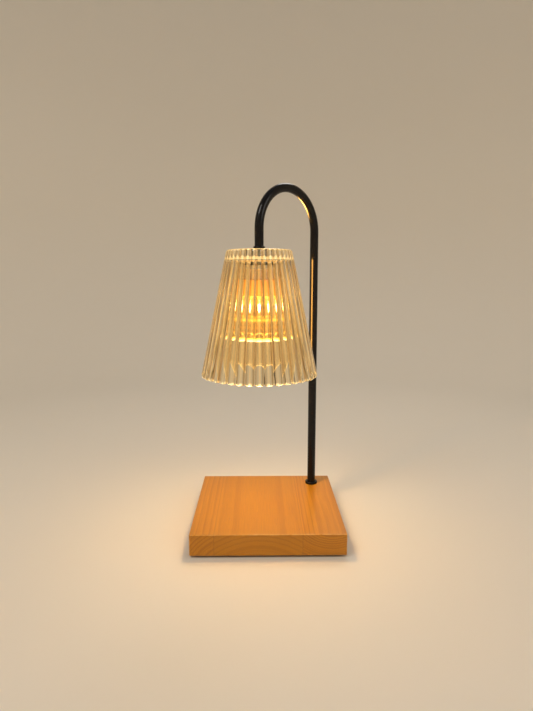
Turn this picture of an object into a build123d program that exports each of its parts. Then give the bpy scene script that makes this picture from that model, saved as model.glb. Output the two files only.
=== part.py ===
from build123d import *
import os
from math import atan, cos, degrees, radians, sin

# Candle warmer lamp: a glued wooden block, a hooked tube and a hanging fluted glass shade
# with a twist-lock reflector bulb. Millimetres, +Z up. The origin is on the table under
# the middle of the block; -Y is the front.

# ---------------------------------------------------------------- driving dimensions
# Wooden block
base_side = 140.0
base_thickness = 20.0
base_edge_round = 1.0
left_stave_width = 22.0
right_stave_width = 39.3
foot_stand = 2.0                # the feet lift the block this far off the table

# Wiring pocket and its cover
pocket_length = 84.5            # along X, from the post's corner
pocket_width = 42.5             # along Y, from the post's corner
pocket_corner = 8.0
pocket_wood_left = 6.0          # wood above the pocket
pocket_reach = 9.5              # pocket wall beyond the post's axis
cover_thickness = 2.0
cover_margin = 5.0              # wooden rim around the cover
cover_corner = 4.0
cover_gap = 0.4

# Screw-on feet
foot_inset = 12.0
foot_d = 13.0
foot_edge_round = 0.5
foot_neck_d = 9.0
foot_screw_d = 3.2
foot_screw_length = 12.0
foot_screw_head_d = 6.0
foot_screw_head_height = 1.5
foot_screw_room = 0.3           # between the head and the foot's recess

# Cord inlet
cord_inlet_from_post = 49.0
cord_inlet_height = 8.0         # above the block's underside
cord_hole_d = 6.2
grommet_wall = 1.4
grommet_flange_d = 11.0
grommet_flange_height = 1.2

# Terminal block
block_from_post_x = 35.0
block_from_post_y = 11.0
block_length = 15.0
block_pitch = 7.0
block_bar_height = 7.0
block_chimney_d = 5.4
block_chimney_height = 3.0
sleeve_d = 4.4
sleeve_bore_d = 2.4
sleeve_length = 13.0
sleeve_depth = 3.5              # sleeve axis below the pocket's ceiling
wire_screw_d = 2.4
wire_screw_length = 4.6
wire_screw_spacing = 8.0
wire_screw_slot = 0.5
block_screw_d = 2.6
block_screw_head_d = 4.4
block_screw_head_height = 1.6
block_screw_bite = 3.5          # into the wood

# Hooked tube
overall_height = 335.0
tube_od = 8.5
tube_wall = 1.0
thread_step = 0.25              # the threaded ends are this much thinner all round
hook_radius = 40.0
hook_heading = 225.0            # degrees from +X, from the post towards the shade
post_inset = 21.0               # post axis from the block's rear and right faces
thread_gap = 0.05
shoulder_sink = 0.6             # the tube's shoulder sits this far into collar and cap

# Post fastening
collar_wall = 2.25
collar_height = 2.5
collar_round = 0.8
washer_wall = 4.0
washer_thickness = 1.2
lock_washer_wall = 2.2
lock_washer_thickness = 1.4
lock_washer_slit = 1.2
nut_wall = 2.5
post_nut_height = 3.5
thread_end_proud = 0.6

# Glass shade
shade_below_bend = 19.75        # shade top below the ends of the bend
shade_height = 118.0
shade_top_d = 61.0              # over the ribs
shade_bottom_d = 111.0          # over the ribs
rib_count = 40
rib_depth = 2.0                 # at the bottom; it tapers with the cone
shade_wall = 4.4                # from rib crest to inner face
shade_top_thickness = 9.0
shade_top_corner = 3.0
shade_rim_outer_round = 1.2
shade_rim_inner_edge = 0.5      # chamfer inside the rim
shade_corner_steps = 3          # straight steps over the rim's and the shoulder's rounding
shade_ceiling_round = 4.0
shade_hole_d = 9.0

# Shade fastening
cap_wall = 1.25
cap_height = 2.5
cap_round = 1.0
gasket_thickness = 0.8
gasket_inset = 0.3              # gasket edge inside the cap's edge
lower_gasket_thickness = 1.2
shade_washer_d = 22.0
shade_washer_thickness = 1.0
shade_nut_height = 3.0

# Lampholder
plate_d = 24.0
plate_thickness = 1.2
boss_wall = 2.2
boss_height = 2.2
holder_d = 26.0
holder_height = 9.8
holder_edge = 0.8
holder_face_thickness = 2.4
wiring_room_width = 7.0
wiring_room_end = 0.5           # free room beyond the contacts
wiring_room_corner = 1.5
holder_screw_spacing = 18.0
holder_screw_d = 3.0
holder_screw_head_d = 5.4
holder_screw_head_height = 1.9
holder_screw_sink = 0.6
screw_gap = 0.1

# Twist-lock pins
pin_spacing = 10.0
pin_neck_d = 3.2
pin_head_d = 5.0
pin_head_height = 2.4
pin_neck_height = 3.0
pin_gap = 0.3                   # running room around the pins
pin_sink = 3.0                  # pin root inside the bulb's base
twist_angle = 25.0

# Contacts
contact_thickness = 0.5
contact_width = 3.6
barrel_wall = 0.35
barrel_length = 3.0
barrel_height = 2.75            # barrel axis above the contact leaf

# Leads
lead_od = 1.6
lead_gap = 0.5                  # half the distance between the two leads, less their radius
lead_floor_room = 0.8           # under the lead where it crosses the pocket
lead_turn = 3.5
lead_rise_turn = 4.0
lead_low_reach = 15.0           # from the post to the foot of the lead's rise
lead_rise_reach = 6.0

# Bulb
bulb_length = 55.3
bulb_d = 50.0
bulb_base_d = 25.0
bulb_base_height = 14.9
bulb_base_chamfer = 1.2
bulb_socket_depth = 6.0
reflector_neck_d = 19.6
reflector_wall = 1.8
reflector_waist_d = 39.0        # diameter half way down the flare
reflector_waist_drop = 14.0     # below the ceramic base
reflector_rim_height = 3.2
reflector_rim_wall = 1.5
reflector_ledge = 0.8           # the front glass rests on it
facet_count = 24                # round the reflector's inside
facet_rows = 8                  # from the front glass to the neck
front_glass_thickness = 2.2
front_glass_recess = 0.4
capsule_d = 9.0
capsule_wall = 0.8
capsule_length = 27.0
capsule_sink = 4.0
filament_d = 1.2
filament_length = 7.0
support_d = 0.5
support_spacing = 3.0
support_overlap = 0.8

# ---------------------------------------------------------------- derived places
base_z = foot_stand
base_top_z = base_z + base_thickness
pocket_z = base_top_z - pocket_wood_left
cover_top_z = base_z + cover_thickness
cover_side = base_side - 2 * cover_margin

post_x = base_side / 2 - post_inset
post_y = base_side / 2 - post_inset
pocket_x = post_x + pocket_reach - pocket_length / 2
pocket_y = post_y + pocket_reach - pocket_width / 2

bend_z = overall_height - tube_od / 2 - hook_radius
hook_dir = Vector(cos(radians(hook_heading)), sin(radians(hook_heading)), 0)
cross_dir = Vector(-hook_dir.Y, hook_dir.X, 0)
post_axis = Vector(post_x, post_y, 0)
shade_axis = post_axis + hook_dir * (2 * hook_radius)

thread_d = tube_od - 2 * thread_step
threaded_hole_d = thread_d + 2 * thread_gap
tube_bore_d = tube_od - 2 * tube_wall

shade_top_z = bend_z - shade_below_bend
shade_bottom_z = shade_top_z - shade_height
ceiling_z = shade_top_z - shade_top_thickness
cap_z = shade_top_z + gasket_thickness
cap_top_z = cap_z + cap_height
shade_washer_z = ceiling_z - lower_gasket_thickness - shade_washer_thickness
shade_nut_z = shade_washer_z - shade_nut_height
plate_z = shade_nut_z - boss_height - plate_thickness
holder_top_z = plate_z
holder_face_z = holder_top_z - holder_height
tube_tip_z = plate_z + plate_thickness / 2

washer_z = pocket_z - washer_thickness
lock_washer_z = washer_z - lock_washer_thickness
post_nut_z = lock_washer_z - post_nut_height
tube_foot_z = post_nut_z - thread_end_proud

collar_seat_z = base_top_z + collar_height - shoulder_sink
cap_seat_z = cap_top_z - shoulder_sink

pin_reach = pin_spacing / 2
bulb_top_z = holder_face_z - pin_gap
pin_neck_top_z = bulb_top_z + pin_neck_height
pin_top_z = pin_neck_top_z + pin_head_height
chamber_z = holder_face_z + holder_face_thickness
contact_z = pin_top_z + pin_gap
barrel_z = contact_z + barrel_height
barrel_start = pin_reach + lead_gap
riser_start = barrel_start + barrel_length

holder_plane = Plane(origin=shade_axis, x_dir=cross_dir, z_dir=(0, 0, 1))
foot_points = [(x * (base_side / 2 - foot_inset), y * (base_side / 2 - foot_inset))
               for x in (-1, 1) for y in (-1, 1)]

os.makedirs("parts", exist_ok=True)


def save(piece, label):
    """Name the finished piece and write it."""
    piece.part.label = label
    export_step(piece.part, f"parts/{label}.step")


def upright_section(axis_point, out_dir=Vector(1, 0, 0)):
    """A plane through a vertical axis: local x runs outwards, local y is height."""
    side_dir = Vector(out_dir.Y, -out_dir.X, 0)
    return Plane(origin=(axis_point.X, axis_point.Y, 0), x_dir=out_dir, z_dir=side_dir)


def vertical_axis(axis_point):
    return Axis((axis_point.X, axis_point.Y, 0), (0, 0, 1))


def turned(axis_point, outline):
    """A solid of revolution from its half-section of (radius, height) corners."""
    with BuildPart() as piece:
        with BuildSketch(upright_section(axis_point)):
            with BuildLine():
                Polyline(*outline, close=True)
            make_face()
        revolve(axis=vertical_axis(axis_point))
    return piece


def flat_ring(axis_point, low_z, thickness, outer_d, hole_d):
    """A plain washer or gasket."""
    with BuildPart() as ring:
        with BuildSketch(Plane.XY.offset(low_z)):
            with Locations((axis_point.X, axis_point.Y)):
                Circle(outer_d / 2)
                Circle(hole_d / 2, mode=Mode.SUBTRACT)
        extrude(amount=thickness)
    return ring


def hex_nut(axis_point, low_z, height):
    """A thin hexagon nut for the tube's thread, with its corners turned off."""
    flat_reach = thread_d / 2 + nut_wall
    corner_reach = flat_reach / cos(radians(30))
    corner_drop = corner_reach - flat_reach
    with BuildPart() as nut:
        with BuildSketch(Plane.XY.offset(low_z)):
            with Locations((axis_point.X, axis_point.Y)):
                RegularPolygon(flat_reach, 6, major_radius=False)
        extrude(amount=height)
        with BuildSketch(upright_section(axis_point)):
            with BuildLine():
                Polyline((0, low_z), (flat_reach, low_z),
                         (corner_reach, low_z + corner_drop / 2),
                         (corner_reach, low_z + height - corner_drop / 2),
                         (flat_reach, low_z + height), (0, low_z + height), close=True)
            make_face()
        revolve(axis=vertical_axis(axis_point), mode=Mode.INTERSECT)
        with BuildSketch(Plane.XY.offset(low_z)):
            with Locations((axis_point.X, axis_point.Y)):
                Circle(threaded_hole_d / 2)
        extrude(amount=height, mode=Mode.SUBTRACT)
    return nut


# ---------------------------------------------------------------- wooden block
grommet_od = cord_hole_d + 2 * grommet_wall
cord_inlet_x = post_x - cord_inlet_from_post
cord_inlet_z = base_z + cord_inlet_height
rear_face = Plane.XZ.offset(-base_side / 2)     # faces inwards: extrusions go into the wood
block_x = post_x - block_from_post_x
block_y = post_y - block_from_post_y

with BuildPart() as base_block:
    with BuildSketch(Plane.XY.offset(base_z)):
        Rectangle(base_side, base_side)
    extrude(amount=base_thickness)
    fillet(base_block.edges(), radius=base_edge_round)
    with BuildSketch(Plane.XY.offset(base_z)):
        side = cover_side + 2 * cover_gap
        RectangleRounded(side, side, cover_corner)
    extrude(amount=cover_thickness, mode=Mode.SUBTRACT)
    with BuildSketch(Plane.XY.offset(cover_top_z)):
        with Locations((pocket_x, pocket_y)):
            RectangleRounded(pocket_length, pocket_width, pocket_corner)
    extrude(amount=pocket_z - cover_top_z, mode=Mode.SUBTRACT)
    with BuildSketch(Plane.XY.offset(cover_top_z)):
        with Locations((post_x, post_y)):
            Circle(threaded_hole_d / 2)
    extrude(amount=base_thickness, mode=Mode.SUBTRACT)
    with BuildSketch(Plane.XY.offset(cover_top_z)):
        with Locations(*foot_points):
            Circle(foot_screw_d / 2)
    extrude(amount=foot_screw_length - cover_thickness, mode=Mode.SUBTRACT)
    with BuildSketch(Plane.XY.offset(pocket_z)):
        with Locations((block_x, block_y)):
            Circle(block_screw_d / 2)
    extrude(amount=block_screw_bite, mode=Mode.SUBTRACT)
    with BuildSketch(rear_face):
        with Locations((cord_inlet_x, cord_inlet_z)):
            Circle(grommet_od / 2)
    extrude(amount=post_inset, mode=Mode.SUBTRACT)
    with BuildSketch(rear_face):
        with Locations((cord_inlet_x, cord_inlet_z)):
            Circle(grommet_flange_d / 2)
    extrude(amount=grommet_flange_height, mode=Mode.SUBTRACT)

seam_left_x = left_stave_width - base_side / 2
seam_right_x = base_side / 2 - right_stave_width
staves = {
    "base_stave_left": (-base_side / 2, seam_left_x),
    "base_stave_middle": (seam_left_x, seam_right_x),
    "base_stave_right": (seam_right_x, base_side / 2),
}
for stave_name, (low_x, high_x) in staves.items():
    with BuildPart() as stave:
        with BuildSketch(Plane.XY.offset(base_z)):
            with Locations(((low_x + high_x) / 2, 0)):
                Rectangle(high_x - low_x, base_side)
        extrude(amount=base_thickness)
        add(base_block.part, mode=Mode.INTERSECT)
    save(stave, stave_name)

# ---------------------------------------------------------------- cover, feet, foot screws
with BuildPart() as bottom_cover:
    with BuildSketch(Plane.XY.offset(base_z)):
        RectangleRounded(cover_side, cover_side, cover_corner)
        with Locations(*foot_points):
            Circle(foot_neck_d / 2, mode=Mode.SUBTRACT)
    extrude(amount=cover_thickness)
save(bottom_cover, "bottom_cover")

with BuildPart() as rubber_feet:
    with BuildSketch():
        with Locations(*foot_points):
            Circle(foot_d / 2)
    extrude(amount=foot_stand)
    fillet(rubber_feet.edges().group_by(Axis.Z)[0], radius=foot_edge_round)
    with BuildSketch(Plane.XY.offset(base_z)):
        with Locations(*foot_points):
            Circle(foot_neck_d / 2)
    extrude(amount=cover_thickness)
    with BuildSketch():
        with Locations(*foot_points):
            Circle(foot_screw_head_d / 2 + foot_screw_room)
    extrude(amount=foot_stand, mode=Mode.SUBTRACT)
    with BuildSketch(Plane.XY.offset(base_z)):
        with Locations(*foot_points):
            Circle(foot_screw_d / 2)
    extrude(amount=cover_thickness, mode=Mode.SUBTRACT)
save(rubber_feet, "rubber_feet")

with BuildPart() as foot_screws:
    with BuildSketch(Plane.XY.offset(base_z - foot_screw_head_height)):
        with Locations(*foot_points):
            Circle(foot_screw_head_d / 2)
    extrude(amount=foot_screw_head_height)
    with BuildSketch(Plane.XY.offset(base_z)):
        with Locations(*foot_points):
            Circle(foot_screw_d / 2)
    extrude(amount=foot_screw_length)
save(foot_screws, "foot_screws")

# ---------------------------------------------------------------- cord grommet
inlet_wall = base_side / 2 - (pocket_y + pocket_width / 2)
with BuildPart() as cord_grommet:
    with BuildSketch(rear_face):
        with Locations((cord_inlet_x, cord_inlet_z)):
            Circle(grommet_od / 2)
    extrude(amount=inlet_wall)
    with BuildSketch(rear_face, rear_face.offset(inlet_wall)):
        with Locations((cord_inlet_x, cord_inlet_z)):
            Circle(grommet_flange_d / 2)
    extrude(amount=grommet_flange_height)
    with BuildSketch(rear_face):
        with Locations((cord_inlet_x, cord_inlet_z)):
            Circle(cord_hole_d / 2)
    extrude(amount=inlet_wall + grommet_flange_height, mode=Mode.SUBTRACT)
save(cord_grommet, "cord_grommet")

# ---------------------------------------------------------------- terminal block
sleeve_z = pocket_z - sleeve_depth
bar_bottom_z = pocket_z - block_bar_height
chimney_bottom_z = bar_bottom_z - block_chimney_height
pole_rows = [block_y - block_pitch / 2, block_y + block_pitch / 2]
wire_screw_points = [(block_x + end * wire_screw_spacing / 2, y)
                     for y in pole_rows for end in (-1, 1)]
sleeve_end_plane = Plane.YZ.offset(block_x - sleeve_length / 2)

with BuildPart() as terminal_block:
    with BuildSketch(Plane.XY.offset(bar_bottom_z)):
        with Locations((block_x, block_y)):
            RectangleRounded(block_length, 2 * block_pitch, radius=1.0)
    extrude(amount=block_bar_height)
    with BuildSketch(Plane.XY.offset(chimney_bottom_z)):
        with Locations(*wire_screw_points):
            Circle(block_chimney_d / 2)
    extrude(amount=block_chimney_height)
    with BuildSketch(Plane.YZ.offset(block_x - block_length / 2)):
        with Locations(*[(y, sleeve_z) for y in pole_rows]):
            Circle(sleeve_d / 2 + thread_gap)
    extrude(amount=block_length, mode=Mode.SUBTRACT)
    with BuildSketch(Plane.XY.offset(chimney_bottom_z)):
        with Locations(*wire_screw_points):
            Circle(wire_screw_d / 2 + screw_gap)
    extrude(amount=sleeve_z - chimney_bottom_z, mode=Mode.SUBTRACT)
    with BuildSketch(Plane.XY.offset(bar_bottom_z)):
        with Locations((block_x, block_y)):
            Circle(block_screw_d / 2)
    extrude(amount=block_bar_height, mode=Mode.SUBTRACT)
save(terminal_block, "terminal_block")

with BuildPart() as terminal_sleeves:
    with BuildSketch(sleeve_end_plane):
        with Locations(*[(y, sleeve_z) for y in pole_rows]):
            Circle(sleeve_d / 2)
            Circle(sleeve_bore_d / 2, mode=Mode.SUBTRACT)
    extrude(amount=sleeve_length)
    with BuildSketch(Plane.XY.offset(chimney_bottom_z)):
        with Locations(*wire_screw_points):
            Circle(wire_screw_d / 2 + thread_gap)
    extrude(amount=sleeve_z - chimney_bottom_z, mode=Mode.SUBTRACT)
save(terminal_sleeves, "terminal_sleeves")

wire_screw_tip_z = sleeve_z - lead_od / 2
with BuildPart() as terminal_screws:
    with BuildSketch(Plane.XY.offset(wire_screw_tip_z - wire_screw_length)):
        with Locations(*wire_screw_points):
            Circle(wire_screw_d / 2)
    extrude(amount=wire_screw_length)
    with BuildSketch(Plane.XY.offset(wire_screw_tip_z - wire_screw_length)):
        with Locations(*wire_screw_points):
            Rectangle(wire_screw_d, wire_screw_slot)
    extrude(amount=wire_screw_slot, mode=Mode.SUBTRACT)
save(terminal_screws, "terminal_screws")

with BuildPart() as block_screw:
    with BuildSketch(Plane.XY.offset(bar_bottom_z - block_screw_head_height)):
        with Locations((block_x, block_y)):
            Circle(block_screw_head_d / 2)
    extrude(amount=block_screw_head_height)
    with BuildSketch(Plane.XY.offset(bar_bottom_z)):
        with Locations((block_x, block_y)):
            Circle(block_screw_d / 2)
    extrude(amount=block_bar_height + block_screw_bite)
save(block_screw, "block_screw")

# ---------------------------------------------------------------- hooked tube
arch_top = post_axis + hook_dir * hook_radius + Vector(0, 0, bend_z + hook_radius)


def hook_route(offset_dir, post_z, shade_z):
    """The tube's centre line, shifted sideways, from a height on the post to one on the shade axis."""
    post_line = post_axis + offset_dir
    shade_line = shade_axis + offset_dir
    with BuildLine() as route:
        Line(post_line + Vector(0, 0, post_z), post_line + Vector(0, 0, bend_z))
        ThreePointArc(post_line + Vector(0, 0, bend_z), arch_top + offset_dir,
                      shade_line + Vector(0, 0, bend_z))
        Line(shade_line + Vector(0, 0, bend_z), shade_line + Vector(0, 0, shade_z))
    return route


exposed_route = hook_route(Vector(0, 0, 0), collar_seat_z, cap_seat_z)
full_route = hook_route(Vector(0, 0, 0), tube_foot_z, tube_tip_z)

with BuildPart() as gooseneck_tube:
    with BuildSketch(Plane(origin=exposed_route.line @ 0, z_dir=exposed_route.line % 0)):
        Circle(tube_od / 2)
    sweep(path=exposed_route.line)
    with BuildSketch(Plane.XY.offset(tube_foot_z)):
        with Locations((post_x, post_y)):
            Circle(thread_d / 2)
    extrude(amount=collar_seat_z - tube_foot_z)
    with BuildSketch(Plane.XY.offset(tube_tip_z)):
        with Locations((shade_axis.X, shade_axis.Y)):
            Circle(thread_d / 2)
    extrude(amount=cap_seat_z - tube_tip_z)
    with BuildSketch(Plane(origin=full_route.line @ 0, z_dir=full_route.line % 0)):
        Circle(tube_bore_d / 2)
    sweep(path=full_route.line, mode=Mode.SUBTRACT)
save(gooseneck_tube, "gooseneck_tube")

# ---------------------------------------------------------------- post fastening
collar_od = tube_od + 2 * collar_wall
with BuildPart() as post_collar:
    with BuildSketch(Plane.XY.offset(base_top_z)):
        with Locations((post_x, post_y)):
            Circle(collar_od / 2)
    extrude(amount=collar_height)
    fillet(post_collar.edges().group_by(Axis.Z)[-1], radius=collar_round)
    with BuildSketch(Plane.XY.offset(base_top_z)):
        with Locations((post_x, post_y)):
            Circle(threaded_hole_d / 2)
    extrude(amount=collar_height, mode=Mode.SUBTRACT)
    with BuildSketch(Plane.XY.offset(collar_seat_z)):
        with Locations((post_x, post_y)):
            Circle(tube_od / 2 + thread_gap)
    extrude(amount=shoulder_sink, mode=Mode.SUBTRACT)
save(post_collar, "post_collar")

washer_od = thread_d + 2 * washer_wall
post_washer = flat_ring(post_axis, washer_z, washer_thickness, washer_od, threaded_hole_d)
save(post_washer, "post_washer")

with BuildPart() as post_lock_washer:
    with BuildSketch(Plane.XY.offset(lock_washer_z)):
        with Locations((post_x, post_y)):
            Circle(thread_d / 2 + lock_washer_wall)
            Circle(threaded_hole_d / 2, mode=Mode.SUBTRACT)
        with Locations((post_x + thread_d / 2, post_y)):
            Rectangle(2 * lock_washer_wall + thread_d / 2, lock_washer_slit, rotation=15,
                      mode=Mode.SUBTRACT)
    extrude(amount=lock_washer_thickness)
save(post_lock_washer, "post_lock_washer")

post_nut = hex_nut(post_axis, post_nut_z, post_nut_height)
save(post_nut, "post_nut")

# ---------------------------------------------------------------- shade cap and gaskets
cap_od = tube_od + 2 * cap_wall
with BuildPart() as shade_cap:
    with BuildSketch(Plane.XY.offset(cap_z)):
        with Locations((shade_axis.X, shade_axis.Y)):
            Circle(cap_od / 2)
    extrude(amount=cap_height)
    fillet(shade_cap.edges().group_by(Axis.Z)[-1], radius=cap_round)
    with BuildSketch(Plane.XY.offset(cap_z)):
        with Locations((shade_axis.X, shade_axis.Y)):
            Circle(threaded_hole_d / 2)
    extrude(amount=cap_height, mode=Mode.SUBTRACT)
    with BuildSketch(Plane.XY.offset(cap_seat_z)):
        with Locations((shade_axis.X, shade_axis.Y)):
            Circle(tube_od / 2 + thread_gap)
    extrude(amount=shoulder_sink, mode=Mode.SUBTRACT)
save(shade_cap, "shade_cap")

upper_gasket = flat_ring(shade_axis, shade_top_z, gasket_thickness,
                         cap_od - 2 * gasket_inset, threaded_hole_d)
save(upper_gasket, "upper_gasket")

lower_gasket = flat_ring(shade_axis, ceiling_z - lower_gasket_thickness,
                         lower_gasket_thickness, shade_washer_d, threaded_hole_d)
save(lower_gasket, "lower_gasket")

# ---------------------------------------------------------------- fluted glass shade
# The ribs are a loft through scalloped outlines of one shape, so every rib tapers with
# the cone. The outlines follow a quarter round at the rim and at the shoulder, which the
# ribs pass over. A turned hollow and the hole in the thick top are cut from the loft.
half_rib = 180.0 / rib_count
shade_slope = (shade_bottom_d - shade_top_d) / 2 / shade_height
side_angle = degrees(atan(shade_slope))


def scalloped_outline(crest_radius):
    """One horizontal outline of the shade: rib_count outward arcs, valley to valley."""
    valley_radius = crest_radius * (1 - rib_depth / (shade_bottom_d / 2))
    for rib in range(rib_count):
        middle = 2 * half_rib * rib
        spots = [(valley_radius, middle - half_rib), (crest_radius, middle),
                 (valley_radius, middle + half_rib)]
        ThreePointArc(*[(radius * cos(radians(turn)), radius * sin(radians(turn)))
                        for radius, turn in spots])


def crest_at(z):
    """Radius over the rib crests at a height."""
    return shade_top_d / 2 + shade_slope * (shade_top_z - z)


def corner_outlines(radius, end_z, up):
    """Crest radii and heights over a round corner, from the side to the end face at end_z."""
    middle_z = end_z - up * radius
    middle_r = crest_at(middle_z) - radius / cos(radians(side_angle))
    turn_step = (90 * up - side_angle) / shade_corner_steps
    turns = [side_angle + turn_step * step for step in range(shade_corner_steps + 1)]
    return [(middle_r + radius * cos(radians(turn)), middle_z + radius * sin(radians(turn)))
            for turn in turns]


rim_outlines = corner_outlines(shade_rim_outer_round, shade_bottom_z, -1)
shoulder_outlines = corner_outlines(shade_top_corner, shade_top_z, 1)
shade_plane = Plane(origin=shade_axis)
with BuildPart() as glass_shade:
    for outline_radius, outline_z in rim_outlines[::-1] + shoulder_outlines:
        with BuildSketch(shade_plane.offset(outline_z)):
            with BuildLine():
                scalloped_outline(outline_radius)
            make_face()
    loft(ruled=True)
    with BuildSketch(upright_section(shade_axis)):
        with BuildLine():
            FilletPolyline((0, shade_bottom_z),
                           (crest_at(shade_bottom_z) - shade_wall, shade_bottom_z),
                           (crest_at(ceiling_z) - shade_wall, ceiling_z), (0, ceiling_z),
                           radius=[0, 0, shade_ceiling_round, 0], close=True)
        make_face()
    revolve(axis=vertical_axis(shade_axis), mode=Mode.SUBTRACT)
    rim_edges = glass_shade.edges().filter_by(GeomType.CIRCLE).group_by(Axis.Z)[0]
    chamfer(rim_edges.sort_by(SortBy.RADIUS)[-1], length=shade_rim_inner_edge)
    with BuildSketch(shade_plane.offset(ceiling_z)):
        Circle(shade_hole_d / 2)
    extrude(amount=shade_top_thickness, mode=Mode.SUBTRACT)
save(glass_shade, "glass_shade")

# ---------------------------------------------------------------- shade fastening
shade_washer = flat_ring(shade_axis, shade_washer_z, shade_washer_thickness,
                         shade_washer_d, threaded_hole_d)
save(shade_washer, "shade_washer")

shade_nut = hex_nut(shade_axis, shade_nut_z, shade_nut_height)
save(shade_nut, "shade_nut")

# ---------------------------------------------------------------- holder plate
holder_screw_points = [(0, -holder_screw_spacing / 2), (0, holder_screw_spacing / 2)]
with BuildPart() as holder_plate:
    with BuildSketch(holder_plane.offset(plate_z)):
        Circle(plate_d / 2)
        with Locations(*holder_screw_points):
            Circle(holder_screw_d / 2 + thread_gap, mode=Mode.SUBTRACT)
    extrude(amount=plate_thickness)
    with BuildSketch(holder_plane.offset(plate_z + plate_thickness)):
        Circle(thread_d / 2 + boss_wall)
    extrude(amount=boss_height)
    with BuildSketch(holder_plane.offset(plate_z)):
        Circle(threaded_hole_d / 2)
    extrude(amount=plate_thickness + boss_height, mode=Mode.SUBTRACT)
save(holder_plate, "holder_plate")

# ---------------------------------------------------------------- ceramic lampholder
# Two keyhole slots: each pin's head goes in through a round mouth, then its neck slides
# along a narrow arc while the head runs in a wider chamber behind the face.
mouth_d = pin_head_d + 2 * pin_gap
neck_slot_width = pin_neck_d + 2 * pin_gap


def pin_arcs():
    """The path of each pin's centre while the bulb turns, seen in the holder's plane."""
    return [Edge.make_circle(pin_reach, start_angle=start - twist_angle, end_angle=start)
            for start in (0, 180)]


def pin_mouths():
    """Where each pin goes in, seen in the holder's plane."""
    return [(side * pin_reach * cos(radians(twist_angle)),
             -side * pin_reach * sin(radians(twist_angle))) for side in (1, -1)]


room_length = 2 * (riser_start + contact_thickness + wiring_room_end)
head_seat_z = holder_face_z + holder_screw_sink + holder_screw_head_height
with BuildPart() as lampholder:
    with BuildSketch(holder_plane.offset(holder_face_z)):
        Circle(holder_d / 2)
    extrude(amount=holder_height)
    chamfer(lampholder.edges(), length=holder_edge)
    with BuildSketch(holder_plane.offset(holder_face_z)):
        for arc in pin_arcs():
            SlotArc(arc, neck_slot_width)
        with Locations(*pin_mouths()):
            Circle(mouth_d / 2)
    extrude(amount=holder_face_thickness, mode=Mode.SUBTRACT)
    with BuildSketch(holder_plane.offset(chamber_z)):
        for arc in pin_arcs():
            SlotArc(arc, mouth_d)
    extrude(amount=contact_z - chamber_z, mode=Mode.SUBTRACT)
    with BuildSketch(holder_plane.offset(contact_z)):
        RectangleRounded(room_length, wiring_room_width, wiring_room_corner)
    extrude(amount=holder_top_z - contact_z, mode=Mode.SUBTRACT)
    with BuildSketch(holder_plane.offset(holder_face_z)):
        with Locations(*holder_screw_points):
            Circle(holder_screw_head_d / 2 + screw_gap)
    extrude(amount=head_seat_z - holder_face_z, mode=Mode.SUBTRACT)
    with BuildSketch(holder_plane.offset(head_seat_z)):
        with Locations(*holder_screw_points):
            Circle(holder_screw_d / 2 + screw_gap)
    extrude(amount=holder_height, mode=Mode.SUBTRACT)
save(lampholder, "lampholder")

with BuildPart() as holder_screws:
    with BuildSketch(holder_plane.offset(head_seat_z - holder_screw_head_height)):
        with Locations(*holder_screw_points):
            Circle(holder_screw_head_d / 2)
    extrude(amount=holder_screw_head_height)
    with BuildSketch(holder_plane.offset(head_seat_z)):
        with Locations(*holder_screw_points):
            Circle(holder_screw_d / 2)
    extrude(amount=plate_z + plate_thickness - head_seat_z)
save(holder_screws, "holder_screws")

# ---------------------------------------------------------------- contacts
barrel_bore_d = lead_od + 2 * thread_gap
barrel_od = barrel_bore_d + 2 * barrel_wall
with BuildPart() as holder_contacts:
    for side in (1, -1):
        strip_plane = upright_section(shade_axis, cross_dir * side)
        with BuildSketch(strip_plane):
            with BuildLine():
                Polyline((pin_reach - contact_width / 2, contact_z),
                         (riser_start + contact_thickness, contact_z),
                         (riser_start + contact_thickness, barrel_z + barrel_od / 2),
                         (riser_start, barrel_z + barrel_od / 2),
                         (riser_start, contact_z + contact_thickness),
                         (pin_reach - contact_width / 2, contact_z + contact_thickness),
                         close=True)
            make_face()
        extrude(amount=contact_width / 2, both=True)
        barrel_plane = Plane(origin=shade_axis + cross_dir * (side * barrel_start)
                             + Vector(0, 0, barrel_z), z_dir=cross_dir * side)
        with BuildSketch(barrel_plane):
            Circle(barrel_od / 2)
            Circle(barrel_bore_d / 2, mode=Mode.SUBTRACT)
        extrude(amount=barrel_length)
save(holder_contacts, "holder_contacts")

# ---------------------------------------------------------------- leads
# Each lead starts in its terminal sleeve, crosses the pocket under the post's nut, runs
# through the tube beside its centre line and turns outwards into its contact's barrel.
lead_offset = lead_od / 2 + lead_gap
lead_floor_z = cover_top_z + lead_floor_room + lead_od / 2
lead_end_x = block_x + wire_screw_spacing / 2 - wire_screw_d / 2


def lead(side, pole_y):
    shift = cross_dir * (side * lead_offset)
    post_line = post_axis + shift
    shade_line = shade_axis + shift
    contact_end = shade_axis + cross_dir * (side * (riser_start - thread_gap))
    with BuildLine() as route:
        FilletPolyline(
            (lead_end_x, pole_y, sleeve_z),
            (post_x - lead_low_reach - lead_rise_reach, pole_y, sleeve_z),
            (post_x - lead_low_reach, pole_y, lead_floor_z),
            (post_line.X, post_line.Y, lead_floor_z),
            (post_line.X, post_line.Y, bend_z),
            radius=[lead_rise_turn, lead_rise_turn, lead_turn])
        ThreePointArc(post_line + Vector(0, 0, bend_z), arch_top + shift,
                      shade_line + Vector(0, 0, bend_z))
        FilletPolyline(
            (shade_line.X, shade_line.Y, bend_z),
            (shade_line.X, shade_line.Y, barrel_z),
            (contact_end.X, contact_end.Y, barrel_z),
            radius=pin_reach - lead_offset)
    with BuildPart() as wire:
        with BuildSketch(Plane(origin=route.line @ 0, z_dir=route.line % 0)):
            Circle(lead_od / 2)
        sweep(path=route.line)
    return wire


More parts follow.
